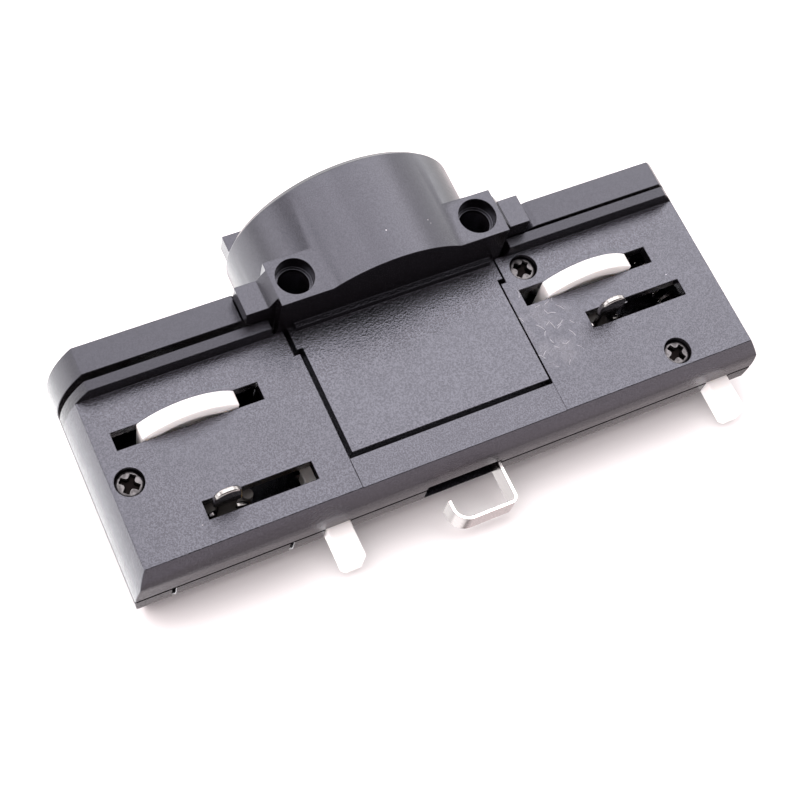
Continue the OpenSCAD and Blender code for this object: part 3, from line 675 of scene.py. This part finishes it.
def screw_grid(top, out, length, spin):
    """A screw as its profile turned about its axis, from the head's middle to the tip.

    Inside the cross the head sinks to the recess depth. On the shank the radius loses the ridge times a
    triangle wave of depth plus angle, which winds into a thread.
    """
    reach, sink = screw_profile(length)
    row = np.arange(len(reach))[:, None]
    reach, turn = np.meshgrid(reach, np.linspace(0, 2 * np.pi, COLUMNS, endpoint=False), indexing="ij")
    sink = np.repeat(sink[:, None], COLUMNS, axis=1)
    sunk = in_cross(reach * np.cos(turn), reach * np.sin(turn)) * (row < HEAD_ROWS)
    sink = sink + sunk * (CROSS_DEEP - sink)
    first_thread = HEAD_ROWS + EDGE_ROWS + 3
    on_shank = (row >= first_thread) & (sink < length - SHANK_R)
    wave = np.abs(((sink / SCREW_PITCH + turn / (2 * np.pi)) % 1.0) * 2 - 1)
    reach = reach - on_shank * SCREW_RIDGE * wave
    grid = np.array(top) + reach[..., None] * round_axis(out, turn + spin) - sink[..., None] * np.array(out)
    return grid, sunk


def screws(name, node, out, spins, material):
    """Screws in place of a node's screws, which are told apart by gaps along the body."""
    mesh = frame["nodes"][node].data
    spots = np.empty(3 * len(mesh.vertices))
    mesh.vertices.foreach_get("co", spots)
    spots = spots.reshape(-1, 3)
    spots = spots[np.argsort(spots[:, 0])]
    groups = np.split(spots, np.nonzero(np.diff(spots[:, 0]) > HEAD_R)[0] + 1)
    axis = np.argmax(np.abs(out))
    grids = []
    recesses = []
    for group, spin in zip(groups, spins):
        low = group.min(axis=0)
        high = group.max(axis=0)
        top = (low + high) / 2
        top[axis] = low[axis]
        grid, sunk = screw_grid(top, out, high[axis] - low[axis], math.radians(spin))
        grids.append(grid)
        recesses.append(sunk.ravel())
    piece = dress(surface(name, grids, wrap=True), node, material)
    recess = piece.data.attributes.new("recess", "FLOAT", "POINT")
    recess.data.foreach_set("value", np.concatenate(recesses))
    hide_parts(node)


WORN_STEEL = (0.145, 0.133, 0.138, 1)
DULL_STEEL = (0.055, 0.050, 0.052, 1)
RECESS_DIRT_AND_SHADE = (0.004, 0.003, 0.003, 1)
BLOTCH_SCALE = 1100.0
BLOTCH_DETAIL = 3.0
BLOTCH_BAND = (0.35, 0.6)
RECESS_BAND = (0.4, 0.9)
STEEL_GLOSS = (0.30, 0.48)
SHELL_SPINS = (29, 44, 50)


def worn_steel(name):
    """Dark plated steel, worn bright in blotches, and black where the mesh says recess, for dirt and painted
    shade.
    """
    material, tree, shader, where = new_material(name)
    blotch = noise(tree, where, BLOTCH_SCALE, BLOTCH_DETAIL)
    recess = shade(tree, "Attribute", attribute_name="recess").outputs["Fac"]
    steel = tint(tree, ramp(tree, blotch, *BLOTCH_BAND), DULL_STEEL, WORN_STEEL)
    colour = tint(tree, ramp(tree, recess, *RECESS_BAND), steel, RECESS_DIRT_AND_SHADE)
    tree.links.new(colour, shader.inputs["Base Color"])
    tree.links.new(ramp(tree, blotch, *CLOUD_BAND, *STEEL_GLOSS), shader.inputs["Roughness"])
    shader.inputs["Metallic"].default_value = 1.0
    return material


screw_steel = worn_steel("worn_screw_steel")
screws("shell_screws_turned", "shell_screws", (0, -1, 0), SHELL_SPINS, screw_steel)

# Levers
# Smooth black mouldings under the flange, which turn the spindles. Each is pressed on its spindle's square
# end and held by one screw from below.
LEVER_EDGE = 0.15 * MM
LEVER_SPINS = (30,)
lever_black = moulded_black("lever_black", pitch=5200.0, depth=0.025 * MM, contrast=0.08, sheen=0.50)
for end in ENDS:
    eased_copy(end + "_lever", LEVER_EDGE, lever_black)
    screws(end + "_lever_screw_turned", end + "_lever_screw", (0, 0, -1), LEVER_SPINS, screw_steel)

# Table, light and camera
# The part lies on its back on a white paper table, on the drum and the body's top edge, in a white room. One
# large soft light is split into a lamp that is only mirrored and one that only shades. A third is behind.
TOP_BEVEL = 1.8 * MM
TABLE_SIZE = 4.0
TABLE_LOW = Vector((0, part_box("lamp_saddle")[1].y, drum_top))
TABLE_HIGH = Vector((0, BODY_HALF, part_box("back_shell")[1].z - TOP_BEVEL))
PAPER = (0.82, 0.82, 0.82, 1)
EDGE_ON_BAND = (0.75, 0.95)


def table_paper(name):
    """White paper that is clear from behind and fades out where it is seen edge on."""
    material = bpy.data.materials.new(name)
    material.use_nodes = True
    tree = material.node_tree
    tree.nodes.clear()
    paper = shade(tree, "BsdfDiffuse", {"Color": PAPER}).outputs["BSDF"]
    clear = shade(tree, "BsdfTransparent").outputs["BSDF"]
    behind = shade(tree, "NewGeometry").outputs["Backfacing"]
    edge_on = shade(tree, "LayerWeight", {"Blend": 0.5}).outputs["Facing"]
    hidden = maths(tree, "MAXIMUM", behind, ramp(tree, edge_on, *EDGE_ON_BAND))
    seen = shade(tree, "MixShader", {0: hidden, 1: paper, 2: clear}).outputs[0]
    shade(tree, "OutputMaterial", {"Surface": seen})
    return material


across = Vector((1, 0, 0))
along = (TABLE_HIGH - TABLE_LOW).normalized()
table_normal = across.cross(along)
corner_signs = ((-1, -1), (1, -1), (1, 1), (-1, 1))
corners = [TABLE_LOW + (across * a + along * b) * TABLE_SIZE for a, b in corner_signs]
table_mesh = bpy.data.meshes.new("table")
table_mesh.from_pydata(corners, [], [(0, 1, 2, 3)])
table_mesh.materials.append(table_paper("table_white"))
table = link(table_mesh)
table.visible_glossy = False
table.visible_transmission = False
table.visible_shadow = False

MIRRORED_WAY = (-0.28, -0.90, -0.30)
SHADING_WAY = (0.05, -0.90, -0.40)
LAMP_FAR = 0.65
LAMP_SIZE = 0.75
LAMP_LEVEL = 2.1
BACK_LAMP_WAY = (0.3, 0.9, 0.35)
BACK_LAMP_FAR = 0.7
BACK_LAMP_SIZE = 0.4
BACK_LAMP_LEVEL = 2.0
part_middle = (cad_box[0] + cad_box[1]) / 2


def soft_light(name, direction, distance, size, radiance):
    """A square lamp that looks at the part; its power gives the stated radiance."""
    lamp = bpy.data.lights.new(name, "AREA")
    lamp.shape = "SQUARE"
    lamp.size = size
    lamp.energy = radiance * math.pi * size * size
    holder = bpy.data.objects.new(name, lamp)
    bpy.context.scene.collection.objects.link(holder)
    way = Vector(direction).normalized()
    holder.location = part_middle + way * distance
    holder.rotation_mode = "QUATERNION"
    holder.rotation_quaternion = way.to_track_quat("Z", "Y")
    holder.visible_camera = False
    return holder


mirrored_lamp = soft_light("overhead_soft_box", MIRRORED_WAY, LAMP_FAR, LAMP_SIZE, LAMP_LEVEL)
mirrored_lamp.visible_diffuse = False
shading_lamp = soft_light("shading_soft_box", SHADING_WAY, LAMP_FAR, LAMP_SIZE, LAMP_LEVEL)
shading_lamp.visible_glossy = False
soft_light("back_soft_box", BACK_LAMP_WAY, BACK_LAMP_FAR, BACK_LAMP_SIZE, BACK_LAMP_LEVEL)

# Steps of the room's light: each runs between two directions, and where it has two more numbers, they are the
# levels at both.
SKY_BY_Z = (-0.15, 0.15, 2.0, 0.03)
SKY_BY_X = (-0.6, 0.1, 1.2, 0.82)
SKY_LIT_SIDE = (0.05, 0.35, 1.0, 2.4)
STREAK_X = 0.73
STREAK_BY_X = (0.03, 0.14, 0.38, 1.0)
SKYLINE_BY_X = (-0.5, 0.5, 1.35, 0.36)
SKYLINE_BAND = (0.05, 0.3)
GROUND_BY_HEIGHT = (-0.9, -0.5, 0.68, 1.45)
LIT_SIDE_BAND = (-0.1, 0.25)
LIT_SIDE_BY_Z = (0.35, 0.7, 1.0, 0.0)
LIT_GROUND = 3.0
HORIZON_BAND = (-0.1, 0.1)
FILL_BY_Z = (-0.7, 0.7, 1.4, 1.05)
FILL_BY_X = (0.0, 0.7, 1.0, 2.2)
PLAIN_BAND = (-0.6, 0.0)
WARM = (1.0, 0.89, 0.90, 1)
PLAIN = (1, 1, 1, 1)


def room_sky(tree, way, height):
    """Mirrored light from above: bright on the lamp's side, with a dark streak and an uneven skyline."""
    off_streak = maths(tree, "ABSOLUTE", maths(tree, "SUBTRACT", way["X"], STREAK_X))
    skyline = ramp(tree, way["X"], *SKYLINE_BY_X)
    sky = ramp(tree, way["Z"], *SKY_BY_Z)
    for share in (
            ramp(tree, way["X"], *SKY_BY_X),
            ramp(tree, way["X"], *SKY_LIT_SIDE),
            ramp(tree, off_streak, *STREAK_BY_X),
            between(tree, ramp(tree, height, *SKYLINE_BAND), skyline, 1.0)):
        sky = maths(tree, "MULTIPLY", sky, share)
    return sky


def room_ground(tree, way, height):
    """Mirrored light from below: the table's glow, brightest on the lit side."""
    glow = ramp(tree, height, *GROUND_BY_HEIGHT)
    lit_side = maths(
        tree, "MULTIPLY", ramp(tree, way["X"], *LIT_SIDE_BAND), ramp(tree, way["Z"], *LIT_SIDE_BY_Z))
    return between(tree, lit_side, glow, LIT_GROUND)


def white_room(name):
    """A room that is white to the camera, a sky and a ground to mirrored rays and an even fill to the rest.

    Its light is warm, except where it is mirrored from high up or from the lit side.
    """
    world = bpy.data.worlds.new(name)
    world.use_nodes = True
    tree = world.node_tree
    tree.nodes.clear()
    path = shade(tree, "LightPath").outputs
    looking = shade(tree, "TexCoord").outputs["Generated"]
    way = axes(tree, looking)
    upright = shade(tree, "VectorMath", {0: looking, 1: table_normal}, operation="DOT_PRODUCT")
    height = upright.outputs["Value"]
    above = ramp(tree, height, *HORIZON_BAND)
    mirrored = between(tree, above, room_ground(tree, way, height), room_sky(tree, way, height))
    fill = maths(tree, "MULTIPLY", ramp(tree, way["Z"], *FILL_BY_Z), ramp(tree, way["X"], *FILL_BY_X))
    level = between(tree, path["Is Glossy Ray"], fill, mirrored)
    level = between(tree, path["Is Camera Ray"], level, 1.0)
    plain = maths(tree, "MAXIMUM", ramp(tree, height, *PLAIN_BAND), ramp(tree, way["X"], *LIT_SIDE_BAND))
    plain = maths(tree, "MULTIPLY", path["Is Glossy Ray"], plain)
    plain = maths(tree, "MAXIMUM", plain, path["Is Camera Ray"])
    tone = tint(tree, plain, WARM, PLAIN)
    room = shade(tree, "Background", {"Color": tone, "Strength": level}).outputs["Background"]
    shade(tree, "OutputWorld", {"Surface": room})
    return world


bpy.context.scene.world = white_room("white_room")

CAMERA_AT = Vector((83.3, -234.65, 117.3)) * MM
CAMERA_RIGHT = Vector((-0.895, -0.1553, 0.4181)).normalized()
CAMERA_UP = Vector((-0.326, -0.4122, -0.8508))
CAMERA_LENS = 72.35
CAMERA_SENSOR = 36.0
CAMERA_NEAR = 0.01
camera_data = bpy.data.cameras.new("camera")
camera_data.lens = CAMERA_LENS
camera_data.sensor_width = CAMERA_SENSOR
camera_data.clip_start = CAMERA_NEAR
camera_back = CAMERA_RIGHT.cross(CAMERA_UP).normalized()
camera_up = camera_back.cross(CAMERA_RIGHT)
camera_turn = Matrix((CAMERA_RIGHT, camera_up, camera_back)).transposed()
camera = bpy.data.objects.new("camera", camera_data)
camera.matrix_world = Matrix.Translation(CAMERA_AT) @ camera_turn.to_4x4()
bpy.context.scene.collection.objects.link(camera)
bpy.context.scene.camera = camera

bpy.context.scene.view_settings.view_transform = "Standard"
